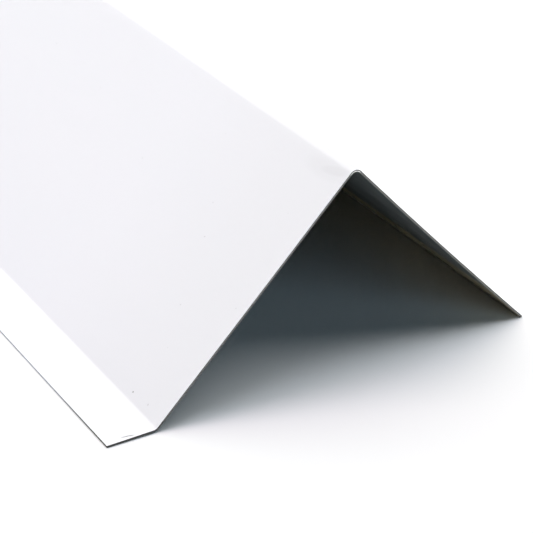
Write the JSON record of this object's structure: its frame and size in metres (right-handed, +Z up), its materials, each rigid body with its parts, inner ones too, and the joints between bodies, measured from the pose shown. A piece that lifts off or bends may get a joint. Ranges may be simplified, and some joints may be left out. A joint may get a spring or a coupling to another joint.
{
  "type": "drip edge flashing",
  "caption": "Folded sheet-metal roof edge trim: a right-angled section with a roof flange, a fascia face and a narrow kicked-out drip lip along its foot.",
  "frame": {"origin": "on the floor, under the middle of the bounding box, with the stock lying unheld on the edges of its lip and its flange", "axes": "+Y along the stock, +X across it from the drip lip to the roof flange, +Z up"},
  "size_m": [0.1186, 3.048, 0.0546],
  "materials": {
    "coated_sheet": "white baked coil paint, satin, with a dark grey backer coat and bare cut edges"
  },
  "bodies": {
    "root": {"drip_edge_flashing": "coated_sheet"}
  },
  "joints": []
}
